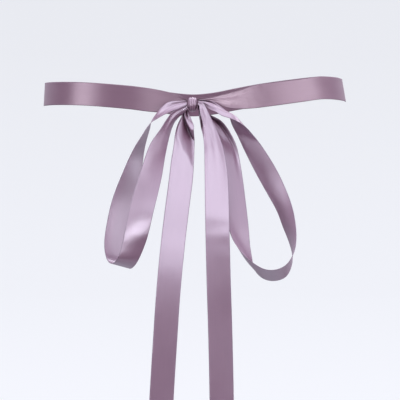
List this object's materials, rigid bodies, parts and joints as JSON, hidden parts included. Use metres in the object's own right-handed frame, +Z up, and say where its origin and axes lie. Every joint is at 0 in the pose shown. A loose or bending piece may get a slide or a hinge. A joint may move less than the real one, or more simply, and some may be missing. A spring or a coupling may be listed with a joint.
{
  "type": "bridal belt",
  "caption": "Satin ribbon belt, worn round the waist and tied behind in a bow with hanging loops and long tails.",
  "frame": {"origin": "middle of the waist ring, at the middle of the ribbon's height, where the wearer's waist holds the belt", "axes": "+Z up along the wearer, -Y towards the back where the bow hangs, +X towards the wearer's right side"},
  "size_m": [0.2646, 0.2608, 0.5768],
  "materials": {
    "satin_ribbon": "double-faced satin, dusty mauve, bright along its folds"
  },
  "bodies": {
    "root": {"waist_band": "satin_ribbon", "bow_loop_left": "satin_ribbon", "bow_loop_right": "satin_ribbon", "tail_left": "satin_ribbon", "tail_right": "satin_ribbon", "knot_wrap": "satin_ribbon", "knot_core": "satin_ribbon"}
  },
  "joints": []
}
